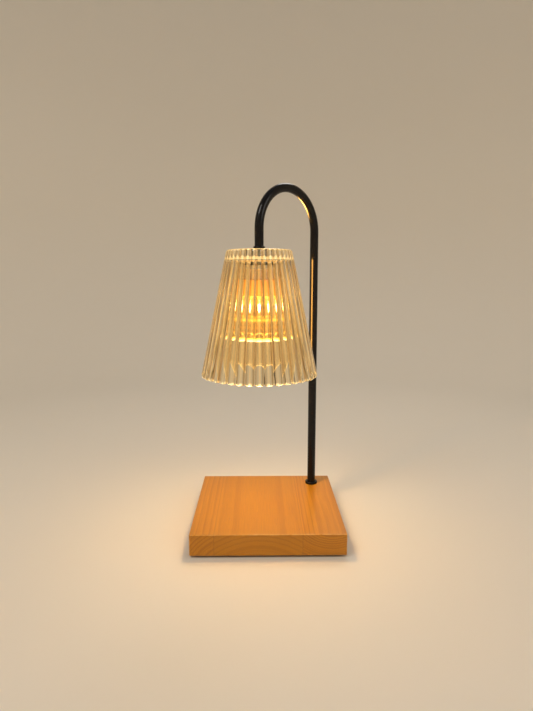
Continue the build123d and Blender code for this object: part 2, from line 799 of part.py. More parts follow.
lead_live = lead(1, pole_rows[0])
save(lead_live, "lead_live")
lead_neutral = lead(-1, pole_rows[1])
save(lead_neutral, "lead_neutral")

# ---------------------------------------------------------------- bulb
base_r = bulb_base_d / 2
neck_r = reflector_neck_d / 2
bulb_neck_z = bulb_top_z - bulb_base_height
socket_top_z = bulb_neck_z + bulb_socket_depth
bulb_face_z = bulb_top_z - bulb_length
rim_top_z = bulb_face_z + reflector_rim_height

bulb_base = turned(shade_axis, [
    (0, bulb_top_z), (base_r - bulb_base_chamfer, bulb_top_z),
    (base_r, bulb_top_z - bulb_base_chamfer), (base_r, bulb_neck_z + bulb_base_chamfer),
    (base_r - bulb_base_chamfer / 2, bulb_neck_z), (neck_r + thread_gap, bulb_neck_z),
    (neck_r + thread_gap, socket_top_z), (capsule_d / 2 + thread_gap, socket_top_z),
    (capsule_d / 2 + thread_gap, socket_top_z + capsule_sink), (0, socket_top_z + capsule_sink)])
with BuildPart() as drilled_base:
    add(bulb_base.part)
    with BuildSketch(holder_plane.offset(bulb_top_z - pin_sink)):
        with Locations((pin_reach, 0), (-pin_reach, 0)):
            Circle(pin_neck_d / 2)
    extrude(amount=pin_sink, mode=Mode.SUBTRACT)
save(drilled_base, "bulb_base")

with BuildPart() as bulb_pins:
    with BuildSketch(holder_plane.offset(bulb_top_z - pin_sink)):
        with Locations((pin_reach, 0), (-pin_reach, 0)):
            Circle(pin_neck_d / 2)
    extrude(amount=pin_sink + pin_neck_height)
    with BuildSketch(holder_plane.offset(pin_neck_top_z)):
        with Locations((pin_reach, 0), (-pin_reach, 0)):
            Circle(pin_head_d / 2)
    extrude(amount=pin_head_height)
    fillet(bulb_pins.edges().group_by(Axis.Z)[-1], radius=0.5)
save(bulb_pins, "bulb_pins")

# The reflector is turned outside and faceted inside, and its front glass rests on a ledge.
waist_z = bulb_neck_z - reflector_waist_drop
waist_r = reflector_waist_d / 2
rim_r = bulb_d / 2
recess_r = rim_r - reflector_rim_wall
front_glass_z = bulb_face_z + front_glass_recess
ledge_z = front_glass_z + front_glass_thickness
facet_curve = ThreePointArc((recess_r - reflector_ledge, ledge_z),
                            (waist_r - reflector_wall, waist_z),
                            (neck_r - reflector_wall, bulb_neck_z))
facet_corners = [facet_curve @ (row / facet_rows) for row in range(facet_rows + 1)]
with BuildPart() as bulb_reflector:
    with BuildSketch(upright_section(shade_axis)):
        with BuildLine():
            Line((neck_r, socket_top_z), (neck_r, bulb_neck_z))
            ThreePointArc((neck_r, bulb_neck_z), (waist_r, waist_z),
                          (rim_r - reflector_rim_wall / 2, rim_top_z))
            Polyline((rim_r - reflector_rim_wall / 2, rim_top_z), (rim_r, rim_top_z),
                     (rim_r, bulb_face_z), (0, bulb_face_z), (0, socket_top_z),
                     (neck_r, socket_top_z))
        make_face()
    revolve(axis=vertical_axis(shade_axis))
    with BuildSketch(shade_plane.offset(bulb_face_z)):
        Circle(recess_r)
    extrude(amount=ledge_z - bulb_face_z, mode=Mode.SUBTRACT)
    for corner in facet_corners:
        with BuildSketch(shade_plane.offset(corner.Y)):
            RegularPolygon(corner.X, facet_count)
    loft(ruled=True, mode=Mode.SUBTRACT)
    with BuildSketch(shade_plane.offset(bulb_neck_z)):
        Circle(neck_r - reflector_wall)
    extrude(amount=socket_top_z - bulb_neck_z, mode=Mode.SUBTRACT)
save(bulb_reflector, "bulb_reflector")

with BuildPart() as bulb_front_glass:
    with BuildSketch(shade_plane.offset(front_glass_z)):
        Circle(recess_r - thread_gap)
    extrude(amount=front_glass_thickness)
save(bulb_front_glass, "bulb_front_glass")

capsule_r = capsule_d / 2
capsule_top_z = socket_top_z + capsule_sink
capsule_tip_z = capsule_top_z - capsule_length
inner_r = capsule_r - capsule_wall
with BuildPart() as bulb_capsule:
    with BuildSketch(upright_section(shade_axis)):
        with BuildLine():
            Polyline((0, capsule_tip_z + capsule_wall), (0, capsule_tip_z))
            CenterArc((0, capsule_tip_z + capsule_r), capsule_r, 270, 90)
            Polyline((capsule_r, capsule_tip_z + capsule_r), (capsule_r, capsule_top_z),
                     (inner_r, capsule_top_z), (inner_r, capsule_tip_z + capsule_r))
            CenterArc((0, capsule_tip_z + capsule_r), inner_r, 270, 90)
        make_face()
    revolve(axis=vertical_axis(shade_axis))
save(bulb_capsule, "bulb_capsule")

filament_z = capsule_tip_z + capsule_r
with BuildPart() as bulb_filament:
    with BuildSketch(holder_plane.offset(filament_z)):
        Circle(filament_d / 2)
    extrude(amount=filament_length)
    with BuildSketch(holder_plane.offset(filament_z + filament_length - support_overlap)):
        with Locations((0, 0)):
            SlotOverall(support_spacing + support_d, support_d)
    extrude(amount=support_overlap)
    with BuildSketch(holder_plane.offset(filament_z + filament_length)):
        with Locations((-support_spacing / 2, 0), (support_spacing / 2, 0)):
            Circle(support_d / 2)
    extrude(amount=capsule_top_z - filament_z - filament_length)
save(bulb_filament, "bulb_filament")
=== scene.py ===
from math import atan, atan2, cos, degrees, hypot, pi, radians, sin, sqrt

import bpy
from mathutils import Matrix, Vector


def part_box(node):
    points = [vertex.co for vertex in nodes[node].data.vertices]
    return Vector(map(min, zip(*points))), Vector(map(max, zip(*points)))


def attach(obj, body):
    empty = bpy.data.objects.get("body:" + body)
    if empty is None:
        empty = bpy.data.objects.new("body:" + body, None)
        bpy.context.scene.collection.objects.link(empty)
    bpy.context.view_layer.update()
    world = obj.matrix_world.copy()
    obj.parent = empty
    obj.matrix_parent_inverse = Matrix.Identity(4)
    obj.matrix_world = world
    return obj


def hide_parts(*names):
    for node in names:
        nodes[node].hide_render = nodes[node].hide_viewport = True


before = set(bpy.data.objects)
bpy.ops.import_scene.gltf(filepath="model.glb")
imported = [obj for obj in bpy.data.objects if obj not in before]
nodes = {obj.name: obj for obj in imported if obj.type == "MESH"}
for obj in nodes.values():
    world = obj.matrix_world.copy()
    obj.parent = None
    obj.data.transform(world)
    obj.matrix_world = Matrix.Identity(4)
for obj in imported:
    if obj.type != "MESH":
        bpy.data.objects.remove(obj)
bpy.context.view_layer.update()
MM = 0.001

# ---------------------------------------------------------------- places from the frame
shade_low, shade_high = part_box("glass_shade")
shade_x, shade_y = (shade_low.x + shade_high.x) / 2, (shade_low.y + shade_high.y) / 2
block_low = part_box("base_stave_left")[0]
block_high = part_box("base_stave_right")[1]
reflector_low, reflector_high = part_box("bulb_reflector")
capsule_low, capsule_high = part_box("bulb_capsule")
filament_low, filament_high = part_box("bulb_filament")


# ---------------------------------------------------------------- node trees
class Paint:
    """A material built around one Principled shader, with short calls for its nodes."""

    def __init__(self, name, colour, **sockets):
        self.mat = bpy.data.materials.new(name)
        self.mat.use_nodes = True
        self.tree = self.mat.node_tree
        self.shader = self.tree.nodes["Principled BSDF"]
        self.output = self.tree.nodes["Material Output"]
        self.put(self.shader, "Base Color", colour)
        for key, value in sockets.items():
            self.put(self.shader, key.replace("_", " "), value)
        self.place = self.add("ShaderNodeTexCoord").outputs["Object"]

    def put(self, node, key, value):
        """Links a socket into an input, or sets the input."""
        slot = node.inputs[key]
        if isinstance(value, bpy.types.NodeSocket):
            self.tree.links.new(value, slot)
        elif isinstance(value, (tuple, list)) and slot.type == "RGBA":
            slot.default_value = (*value, 1.0)[:4]
        else:
            slot.default_value = value

    def add(self, kind, inputs=None, **settings):
        node = self.tree.nodes.new(kind)
        for key, value in settings.items():
            setattr(node, key, value)
        for key, value in (inputs or {}).items():
            self.put(node, key, value)
        return node

    def sum(self, operation, *values):
        """One Math node."""
        return self.add("ShaderNodeMath", dict(enumerate(values)), operation=operation).outputs[0]

    def split(self, vector=None):
        node = self.add("ShaderNodeSeparateXYZ", {0: vector or self.place})
        return node.outputs[0], node.outputs[1], node.outputs[2]

    def stretched(self, scale, shift=(0, 0, 0)):
        """The piece's own coordinates, scaled on each axis."""
        return self.add("ShaderNodeMapping", {"Vector": self.place, "Scale": scale,
                                              "Location": shift}).outputs[0]

    def noise(self, scale, vector=None, detail=3.0, roughness=0.5):
        return self.add("ShaderNodeTexNoise", {
            "Vector": vector or self.place, "Scale": scale, "Detail": detail,
            "Roughness": roughness}).outputs["Fac"]

    def fit(self, value, low, high, to_low=0.0, to_high=1.0):
        """A value moved from one range to another, and held inside it."""
        return self.add("ShaderNodeMapRange", {
            "Value": value, "From Min": low, "From Max": high,
            "To Min": to_low, "To Max": to_high}).outputs[0]

    def ramp(self, value, stops, interpolation="LINEAR"):
        """Colours along a value; stops are (place, colour)."""
        node = self.add("ShaderNodeValToRGB", {"Fac": value})
        node.color_ramp.interpolation = interpolation
        band = node.color_ramp.elements
        while len(band) < len(stops):
            band.new(1.0)
        for element, (place, colour) in zip(band, stops):
            element.position = place
            element.color = (*colour, 1.0)
        return node.outputs[0]

    def levels(self, value, *stops, interpolation="LINEAR"):
        """Grey levels along a value; stops are (place, level)."""
        return self.ramp(value, [(place, (level,) * 3) for place, level in stops], interpolation)

    def length(self, first, second):
        """The length of a flat vector."""
        return self.sum("SQRT", self.sum("ADD", self.sum("MULTIPLY", first, first),
                                         self.sum("MULTIPLY", second, second)))

    def from_shade_axis(self):
        """x and y from the axis that shade and bulb share, and z."""
        x, y, z = self.split()
        return self.sum("SUBTRACT", x, shade_x), self.sum("SUBTRACT", y, shade_y), z

    def outside(self):
        """1 where light leaves a piece's outer side, 0 on the way out from inside it."""
        return self.sum("SUBTRACT", 1.0, self.add("ShaderNodeNewGeometry").outputs["Backfacing"])

    def mix(self, share, first, second, blend="MIX"):
        node = self.add("ShaderNodeMix", data_type="RGBA", blend_type=blend)
        for slot, value in zip((node.inputs[0], node.inputs[6], node.inputs[7]),
                               (share, first, second)):
            if isinstance(value, bpy.types.NodeSocket):
                self.tree.links.new(value, slot)
            elif isinstance(value, tuple):
                slot.default_value = (*value, 1.0)
            else:
                slot.default_value = value
        return node.outputs[2]

    def bump(self, height, distance, strength=1.0):
        self.put(self.shader, "Normal", self.add("ShaderNodeBump", {
            "Height": height, "Distance": distance, "Strength": strength}).outputs[0])

    def lets_lamps_through(self):
        """Light passes the piece unbent, so that what is behind the glass is lit."""
        path = self.add("ShaderNodeLightPath").outputs["Is Shadow Ray"]
        clear = self.add("ShaderNodeBsdfTransparent")
        both = self.add("ShaderNodeMixShader", {
            0: path, 1: self.shader.outputs[0], 2: clear.outputs[0]})
        self.tree.links.new(both.outputs[0], self.output.inputs["Surface"])


def dress(paint, *names):
    """Gives CAD nodes a material."""
    for name in names:
        for slot in nodes[name].material_slots:
            slot.material = paint.mat


# ---------------------------------------------------------------- wood
# Earlywood and latewood tones, more orange than the wood's own honey colour: partly painted warm
# lamp light.
EARLY_WOOD = (0.68, 0.290, 0.012)
LATE_WOOD = (0.36, 0.115, 0.004)
STAVE_SEAMS = (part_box("base_stave_left")[1].x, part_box("base_stave_right")[0].x)


def wood(name, pith_x, pith_z, ring_pitch, contrast, tone):
    """Lacquered plain-sawn wood: growth rings round a pith line that runs front to back."""
    paint = Paint(name, EARLY_WOOD, Coat_Weight=0.35, Coat_Roughness=0.2,
                  Specular_IOR_Level=0.3)
    x, y, z = paint.split()
    wander = paint.fit(paint.noise(1.0, paint.stretched((14, 3.0, 14), (tone * 9, 0, 0))),
                       0.2, 0.8, -1.6 * MM, 1.6 * MM)
    across = paint.sum("ADD", paint.sum("SUBTRACT", x, pith_x), wander)
    up = paint.sum("SUBTRACT", z, pith_z)
    radius = paint.length(across, up)
    ripple = paint.fit(paint.noise(1.0, paint.stretched((160, 14, 160), (tone * 5, 0, 0))),
                       0.2, 0.8, -0.45 * MM, 0.45 * MM)
    rings = paint.sum("DIVIDE", paint.sum("ADD", radius, ripple), ring_pitch)
    ring = paint.sum("FRACT", rings)
    season = paint.levels(ring, (0.0, 0.05), (0.40, 0.35), (0.75, 0.80), (0.90, 1.0),
                          (1.0, 0.05), interpolation="EASE")
    years = paint.add("ShaderNodeTexNoise", {"W": rings, "Scale": 1.15, "Detail": 2.0},
                      noise_dimensions="1D").outputs["Fac"]
    band = paint.sum("MULTIPLY_ADD", season, 0.45, paint.fit(years, 0.30, 0.70, 0.0, 0.55))
    fibre = paint.noise(1.0, paint.stretched((1500, 30, 1500)), detail=4.0, roughness=0.6)
    pores = paint.fit(paint.noise(1.0, paint.stretched((2600, 90, 2600), (3, 1, 0)), detail=2.0),
                      0.66, 0.74)
    patch = paint.noise(1.0, paint.stretched((30, 8, 30), (0, tone * 4, 0)), detail=2.0)
    end_face = paint.fit(paint.sum("ABSOLUTE", paint.split(
        paint.add("ShaderNodeTexCoord").outputs["Normal"])[1]), 0.6, 0.9)
    ring_share = paint.sum("MULTIPLY", band, paint.fit(end_face, 0, 1, contrast * 0.9, contrast))
    colour = paint.mix(ring_share, EARLY_WOOD, LATE_WOOD)
    colour = paint.mix(0.55, colour, paint.ramp(fibre, [(0.25, (0.62, 0.58, 0.52)),
                                                        (0.75, (1.0, 1.0, 1.0))]), "MULTIPLY")
    colour = paint.mix(0.35, colour, paint.ramp(patch, [(0.3, (0.80, 0.74, 0.66)),
                                                        (0.7, (1.0, 1.0, 1.0))]), "MULTIPLY")
    colour = paint.mix(paint.sum("MULTIPLY", pores, 0.5), colour, (0.22, 0.10, 0.03))
    colour = paint.mix(paint.sum("MULTIPLY", end_face, 0.30), colour, (0.86, 0.72, 0.55),
                       "MULTIPLY")
    colour = paint.mix(1.0, colour, (tone, tone * 0.985, tone * 0.96), "MULTIPLY")
    glue = paint.sum("MAXIMUM", *(
        paint.fit(paint.sum("ABSOLUTE", paint.sum("SUBTRACT", x, seam)), 0.15 * MM, 0.55 * MM,
                  1.0, 0.0) for seam in STAVE_SEAMS))
    colour = paint.mix(paint.sum("MULTIPLY", glue, 0.28), colour, (0.20, 0.075, 0.012))
    edge = block_edge(paint, x, y, z)
    colour = paint.mix(paint.sum("MULTIPLY", edge, 0.35), colour, (0.86, 0.55, 0.18))
    paint.put(paint.shader, "Base Color", colour)
    paint.put(paint.shader, "Roughness", paint.fit(paint.sum("ADD", fibre, edge), 0.2, 1.2,
                                                   0.30, 0.46))
    relief = paint.sum("SUBTRACT", paint.sum("MULTIPLY", fibre, 0.5),
                       paint.sum("ADD", paint.sum("MULTIPLY", band, 0.5), pores))
    paint.bump(relief, 0.05 * MM)
    return paint


def block_edge(paint, x, y, z):
    """1 along the block's edges, where hands and cloths wear the lacquer, fading inwards."""
    half_x = (block_high.x - block_low.x) / 2
    half_y = (block_high.y - block_low.y) / 2
    half_z = (block_high.z - block_low.z) / 2
    in_x = paint.sum("SUBTRACT", half_x, paint.sum("ABSOLUTE", x))
    in_y = paint.sum("SUBTRACT", half_y, paint.sum("ABSOLUTE", y))
    in_z = paint.sum("SUBTRACT", half_z, paint.sum("ABSOLUTE", paint.sum(
        "SUBTRACT", z, block_low.z + half_z)))
    low = paint.sum("MINIMUM", in_x, in_y)
    high = paint.sum("MAXIMUM", in_x, in_y)
    second = paint.sum("MAXIMUM", low, paint.sum("MINIMUM", high, in_z))
    ragged = paint.fit(paint.noise(160.0), 0.3, 0.7, 0.4 * MM, 1.3 * MM)
    return paint.fit(paint.sum("DIVIDE", second, ragged), 0.4, 1.0, 1.0, 0.0)


# Where each stave was cut from its log: the pith's x and z, and the ring pitch.
dress(wood("wood_left", -27 * MM, -24 * MM, 3.3 * MM, 0.62, 1.0), "base_stave_left")
dress(wood("wood_middle", -8 * MM, -52 * MM, 4.6 * MM, 0.42, 0.97), "base_stave_middle")
dress(wood("wood_right", 57 * MM, 50 * MM, 2.2 * MM, 0.72, 1.04), "base_stave_right")


# ---------------------------------------------------------------- metals, paint, rubber
def gloss_paint():
    """Gloss black paint with faint orange peel and a little dust."""
    paint = Paint("gloss_black", (0.006, 0.005, 0.005), Coat_Weight=0.22, Coat_Roughness=0.05,
                  Specular_IOR_Level=0.12)
    dust = paint.fit(paint.noise(900.0, detail=5.0), 0.60, 0.72)
    smear = paint.noise(55.0, detail=3.0)
    paint.put(paint.shader, "Base Color", paint.mix(
        paint.sum("MULTIPLY", dust, 0.04), (0.006, 0.005, 0.005), (0.14, 0.13, 0.12)))
    paint.put(paint.shader, "Roughness", paint.fit(smear, 0.3, 0.7, 0.16, 0.26))
    paint.bump(paint.noise(650.0, detail=1.5), 0.012 * MM)
    return paint


def metal(name, colour, roughness, brushed):
    """Plated or turned metal, with fine lines along its axis or across it."""
    paint = Paint(name, colour, Metallic=1.0)
    lines = paint.noise(1.0, paint.stretched(brushed), detail=3.0)
    stain = paint.noise(180.0, detail=4.0)
    darker = tuple(0.72 * part for part in colour)
    paint.put(paint.shader, "Base Color", paint.mix(paint.fit(stain, 0.35, 0.75, 0.0, 0.8),
                                                    colour, darker))
    paint.put(paint.shader, "Roughness", paint.fit(lines, 0.3, 0.7, roughness * 0.8,
                                                   roughness * 1.25))
    paint.bump(lines, 0.01 * MM)
    return paint


def moulded(name, colour, roughness, grain, depth, **sockets):
    """Moulded rubber, plastic or ceramic: a fine even grain and slightly uneven colour."""
    paint = Paint(name, colour, **sockets)
    grains = paint.noise(grain, detail=4.0)
    cloud = paint.noise(grain / 12, detail=2.0)
    darker = tuple(0.80 * part for part in colour)
    paint.put(paint.shader, "Base Color", paint.mix(paint.fit(cloud, 0.35, 0.7), colour, darker))
    paint.put(paint.shader, "Roughness", paint.fit(grains, 0.3, 0.7, roughness - 0.06,
                                                   roughness + 0.08))
    paint.bump(grains, depth)
    return paint


dress(gloss_paint(), "gooseneck_tube", "post_collar", "shade_cap", "shade_nut")
zinc = metal("zinc_plate", (0.63, 0.63, 0.64), 0.30, (900, 900, 60))
dress(zinc, "post_washer", "post_lock_washer", "post_nut", "shade_washer", "holder_plate",
      "holder_screws", "foot_screws", "block_screw", "terminal_screws")
dress(metal("turned_brass", (0.80, 0.60, 0.28), 0.26, (80, 900, 900)),
      "terminal_sleeves", "holder_contacts")
dress(metal("nickel_plate", (0.78, 0.76, 0.72), 0.20, (900, 900, 80)), "bulb_pins")
dress(moulded("foot_rubber", (0.020, 0.020, 0.021), 0.72, 2600.0, 0.03 * MM),
      "rubber_feet", "cord_grommet")
dress(moulded("cover_board", (0.028, 0.026, 0.024), 0.80, 1500.0, 0.05 * MM), "bottom_cover")
dress(moulded("terminal_nylon", (0.82, 0.81, 0.76), 0.42, 1200.0, 0.01 * MM,
              Subsurface_Weight=0.15, Subsurface_Radius=(2 * MM, 2 * MM, 2 * MM)),
      "terminal_block")
dress(moulded("silicone", (0.74, 0.72, 0.67), 0.48, 1800.0, 0.01 * MM), "upper_gasket",
      "lower_gasket")
dress(moulded("lead_sleeve", (0.86, 0.84, 0.78), 0.55, 3000.0, 0.02 * MM), "lead_live",
      "lead_neutral")
# The lampholder's cream steatite is coloured brown: painted shade and warm light of the bulb.
dress(moulded("steatite", (0.50, 0.36, 0.20), 0.58, 2200.0, 0.03 * MM), "lampholder")


# ---------------------------------------------------------------- meshes
def grid_mesh(name, rows, paint, sharp=35.0, closed=False):
    """A smooth-shaded mesh from rings of points, outer side first, from the top down.

    closed joins the last ring to the first."""
    count = len(rows[0])
    points = [point for row in rows for point in row]
    faces = []
    pairs = list(zip(range(len(rows)), range(1, len(rows))))
    if closed:
        pairs.append((len(rows) - 1, 0))
    for below, above in pairs:
        for spot in range(count):
            after = (spot + 1) % count
            faces.append((below * count + spot, above * count + spot,
                          above * count + after, below * count + after))
    mesh = bpy.data.meshes.new(name)
    mesh.from_pydata(points, [], faces)
    mesh.validate()
    mesh.shade_smooth()
    mesh.set_sharp_from_angle(angle=radians(sharp))
    mesh.materials.append(paint.mat)
    piece = bpy.data.objects.new(name, mesh)
    bpy.context.scene.collection.objects.link(piece)
    return piece


def arc_points(centre, radius, start, end, steps):
    """Points (r, z) on an arc of a turned profile; angles in degrees from outwards to up."""
    return [(centre[0] + radius * cos(radians(start + (end - start) * step / steps)),
             centre[1] + radius * sin(radians(start + (end - start) * step / steps)))
            for step in range(steps + 1)]


def round_axis(r, turn, z):
    """A point at a distance from the axis that shade and bulb share."""
    return shade_x + r * cos(turn), shade_y + r * sin(turn), z


# ---------------------------------------------------------------- fluted shade
RIBS = 40
RIB_SAMPLES = 16                # points around each rib
RIB_DEPTH_AT_RIM = 2.0 * MM
SHADE_TOP_R = 30.5 * MM
SHADE_RIM_R = 55.5 * MM
SHADE_WALL = 4.4 * MM
TOP_THICKNESS = 9.0 * MM
SHOULDER_R = 3.0 * MM
VALLEY_ROUND = 0.04             # share of the rib's height
RIM_R = 1.7 * MM
RIM_INSIDE_R = 0.6 * MM
RIM_SCALLOP = 1.1 * MM          # the rim is this much higher between two ribs
CEILING_R = 4.0 * MM
HOLE_R = 4.5 * MM
FLAT_WIDTH = 9.0 * MM           # of the plain flat top round the hole
ROUND_STEPS = 9                 # points over the shoulder and over the rim
FLANK_STEPS, INSIDE_STEPS = 24, 12
RIB_SHARE_ON_TOP = 0.10         # of the rib's depth, where the shoulder starts
RIB_SHARE_LOST = 0.45           # of the rib's depth, round the rim
# Strength of the glow painted on the shade's glass.
SHADE_GLOW = 1.7

shade_top, shade_foot = shade_high.z, shade_low.z
slope = (SHADE_RIM_R - SHADE_TOP_R) / (shade_top - shade_foot)
lean = degrees(atan(slope))
rib_half_width = SHADE_RIM_R * pi / RIBS
rib_arc_r = (rib_half_width ** 2 + RIB_DEPTH_AT_RIM ** 2) / (2 * RIB_DEPTH_AT_RIM)


def crest_at(z):
    """Radius over the ribs' crests at a height."""
    return SHADE_TOP_R + slope * (shade_top - z)


def rib_height(turn):
    """0 in a valley and 1 on a crest: an arc across the rib, rounded a little in the valley."""
    share = (turn * RIBS / (2 * pi) + 0.5) % 1.0 * 2 - 1
    arc = sqrt(rib_arc_r ** 2 - (share * rib_half_width) ** 2) - (rib_arc_r - RIB_DEPTH_AT_RIM)
    height = arc / RIB_DEPTH_AT_RIM
    return (height + VALLEY_ROUND + sqrt((height - VALLEY_ROUND) ** 2 + VALLEY_ROUND ** 2)) / 2


def shade_profile():
    """(r, z, rib share, scallop share) over the shoulder, down the ribs, in and up again."""
    shoulder_z = shade_top - SHOULDER_R
    shoulder = arc_points((crest_at(shoulder_z) - SHOULDER_R / cos(radians(lean)), shoulder_z),
                          SHOULDER_R, 90, lean, ROUND_STEPS)
    rim_z = shade_foot + RIM_R
    rim = arc_points((crest_at(rim_z) - RIM_R / cos(radians(lean)), rim_z), RIM_R, lean, -90,
                     ROUND_STEPS)
    outside = [(HOLE_R, shade_top, 0.0, 0.0), (HOLE_R + FLAT_WIDTH, shade_top, 0.0, 0.0)]
    outside += [(r, z, RIB_SHARE_ON_TOP + (1 - RIB_SHARE_ON_TOP) * (step / ROUND_STEPS) ** 0.8,
                 0.0) for step, (r, z) in enumerate(shoulder)]
    for step in range(1, FLANK_STEPS):
        z = shoulder[-1][1] + (rim[0][1] - shoulder[-1][1]) * step / FLANK_STEPS
        outside.append((crest_at(z), z, 1.0, 0.0))
    outside += [(r, z, 1.0 - RIB_SHARE_LOST * (step / ROUND_STEPS) ** 2, step / ROUND_STEPS)
                for step, (r, z) in enumerate(rim)]
    edge_z = shade_foot + RIM_INSIDE_R
    edge_r = crest_at(edge_z) - SHADE_WALL + RIM_INSIDE_R / cos(radians(lean))
    inside = [(r, z, 0.0, 1.0) for r, z in arc_points((edge_r, edge_z), RIM_INSIDE_R, -90,
                                                      lean - 180, 5)]
    ceiling = shade_top - TOP_THICKNESS
    turn_z = ceiling - CEILING_R
    turn_r = crest_at(turn_z) - SHADE_WALL - CEILING_R / cos(radians(lean))
    for step in range(1, INSIDE_STEPS):
        z = edge_z + (turn_z - edge_z) * step / INSIDE_STEPS
        inside.append((crest_at(z) - SHADE_WALL, z, 0.0, 0.0))
    inside += [(r, z, 0.0, 0.0) for r, z in arc_points((turn_r, turn_z), CEILING_R, lean, 90, 7)]
    inside.append((HOLE_R, ceiling, 0.0, 0.0))
    return outside + inside


def pressed_glass():
    """Glass with draw lines along the ribs, tinted warm, with painted amber shade on the rib
    flanks and a painted glow of the bulb's light along the crowns, at the ceiling and at the rim.
    """
    # clear is a warm tint, partly the glass's own and partly painted warm light of the bulb;
    # amber is the painted shade on the rib flanks.
    clear, amber = (1.0, 0.88, 0.63), (0.55, 0.29, 0.08)
    golden, pale = (1.0, 0.60, 0.15), (1.0, 0.78, 0.38)
    paint = Paint("pressed_glass", clear, Transmission_Weight=1.0, IOR=1.5, Roughness=0.0)
    from_x, from_y, z = paint.from_shade_axis()
    turn = paint.sum("ARCTAN2", from_y, from_x)
    out = paint.length(from_x, from_y)
    crest = paint.sum("MULTIPLY_ADD", z, -slope, SHADE_TOP_R + slope * shade_top)
    inside = paint.fit(paint.sum("SUBTRACT", crest, out), SHADE_WALL - 0.8 * MM,
                       SHADE_WALL - 0.4 * MM)
    phase = paint.sum("FRACT", paint.sum("MULTIPLY_ADD", turn, RIBS / (2 * pi), 0.5))
    rib = paint.sum("ABSOLUTE", paint.sum("MULTIPLY_ADD", phase, 2.0, -1.0))
    # Painted shade: amber darkening on the flanks of the outer ribs, patchy along the draw lines.
    painted_flank_shade = paint.levels(rib, (0.0, 0.12), (0.40, 0.12), (0.64, 1.0), (0.86, 1.0), (1.0, 0.2))
    # Painted highlights: a bright line on each rib crown and a fainter one on each flank.
    painted_crown_highlight = paint.levels(rib, (0.0, 1.0), (0.14, 0.8), (0.30, 0.0), (0.44, 0.0), (0.52, 0.5),
                         (0.60, 0.0), (0.88, 0.0), (1.0, 1.0))
    along = paint.add("ShaderNodeCombineXYZ", {0: paint.sum("MULTIPLY", turn, 55.0),
                                               1: paint.sum("MULTIPLY", z, 14.0)}).outputs[0]
    streak = paint.noise(1.0, along, detail=3.0, roughness=0.6)
    patch = paint.fit(streak, 0.35, 0.60, 0.35, 1.0)
    height = paint.fit(z, shade_low.z, shade_high.z)
    # Painted shade: a thin dark line on the inside at the ceiling.
    painted_ceiling_shade = paint.levels(height, (0.0, 0.0), (0.895, 0.0), (0.900, 0.9), (0.910, 0.9),
                                 (0.915, 0.0))
    outside = paint.sum("SUBTRACT", 1.0, inside)
    # Where the painted shade turns the glass amber: rib flanks outside, the ceiling line inside.
    darker = paint.sum("ADD", paint.sum("MULTIPLY", paint.sum("MULTIPLY", painted_flank_shade, patch), outside),
                       paint.sum("MULTIPLY", painted_ceiling_shade, inside))
    paint.put(paint.shader, "Base Color", paint.mix(darker, clear, amber))
    # Painted glow of the bulb's light: strongest in a band at the rim, weaker up the wall.
    wall_glow = paint.levels(height, (0.0, 1.0), (0.009, 1.0), (0.019, 0.11), (0.25, 0.12),
                             (0.34, 0.20), (0.62, 0.22), (0.88, 0.12), (1.0, 0.12))
    paint.put(paint.shader, "Emission Color", paint.ramp(height, [
        (0.0, pale), (0.018, pale), (0.03, golden), (0.90, golden), (0.93, pale)]))
    # Painted glow: a bright line on the inside just under the ceiling.
    ceiling_glow = paint.levels(height, (0.0, 0.0), (0.914, 0.0), (0.920, 0.32), (0.926, 0.32),
                                (0.930, 0.0))
    lines = paint.sum("MULTIPLY", painted_crown_highlight, paint.fit(streak, 0.40, 0.66, 0.25, 1.2))
    glow = paint.sum("ADD", paint.sum("MULTIPLY", wall_glow, lines),
                     paint.sum("MULTIPLY", ceiling_glow, inside))
    paint.put(paint.shader, "Emission Strength", paint.sum("MULTIPLY", glow, SHADE_GLOW))
    paint.bump(streak, 0.03 * MM)
    paint.lets_lamps_through()
    return paint


def fluted_shade():
    """The ribbed glass cone: the profile turned about the axis, with each valley drawn in."""
    around = RIBS * RIB_SAMPLES
    rows = []
    for r, z, share, scallop in shade_profile():
        depth = RIB_DEPTH_AT_RIM * r / SHADE_RIM_R * share
        row = []
        for spot in range(around):
            turn = 2 * pi * spot / around
            below = 1 - rib_height(turn)
            row.append(round_axis(r - depth * below, turn, z + RIM_SCALLOP * scallop * below))
        rows.append(row)
    piece = grid_mesh("fluted_glass", rows, pressed_glass(), closed=True)
    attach(piece, "lamp")
    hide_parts("glass_shade")


fluted_shade()

# ---------------------------------------------------------------- bulb
NECK_R = 9.8 * MM
WAIST_R = 19.5 * MM
FACE_R = 25.0 * MM
WAIST_DROP = 14.0 * MM          # below the ceramic base
REFLECTOR_WALL = 1.8 * MM
RIM_WALL = 1.5 * MM
FACE_LEDGE = 0.8 * MM           # the front glass rests against it
RIM_BAND = 3.2 * MM             # height of the straight rim
REFLECTOR_AROUND = 120
FACETS_AROUND = 24
FACET_ROWS = 8
ORANGE_GLOW = (1.0, 0.36, 0.015)
WHITE_GLOW = (1.0, 0.80, 0.46)
REFLECTOR_GLOW, CAPSULE_GLOW = 3.2, 10.0
FACE_GLOW = (28.0, 10.0)        # in the middle and at the rim of the front glass
WIRE_GLOW = (12.0, 16.0)        # weakest and strongest along the coil


def glowing_ceramic():
    """The bulb's white ceramic base, coloured warm brown and given a painted orange glow of the
    bulb's light through it.
    """
    paint = moulded("bulb_ceramic", (0.42, 0.22, 0.04), 0.50, 2000.0, 0.02 * MM,
                    Emission_Color=ORANGE_GLOW)
    z = paint.split()[2]
    low, high = (corner.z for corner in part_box("bulb_base"))
    paint.put(paint.shader, "Emission Strength", paint.fit(z, low, high, 1.0, 0.50))
    return paint


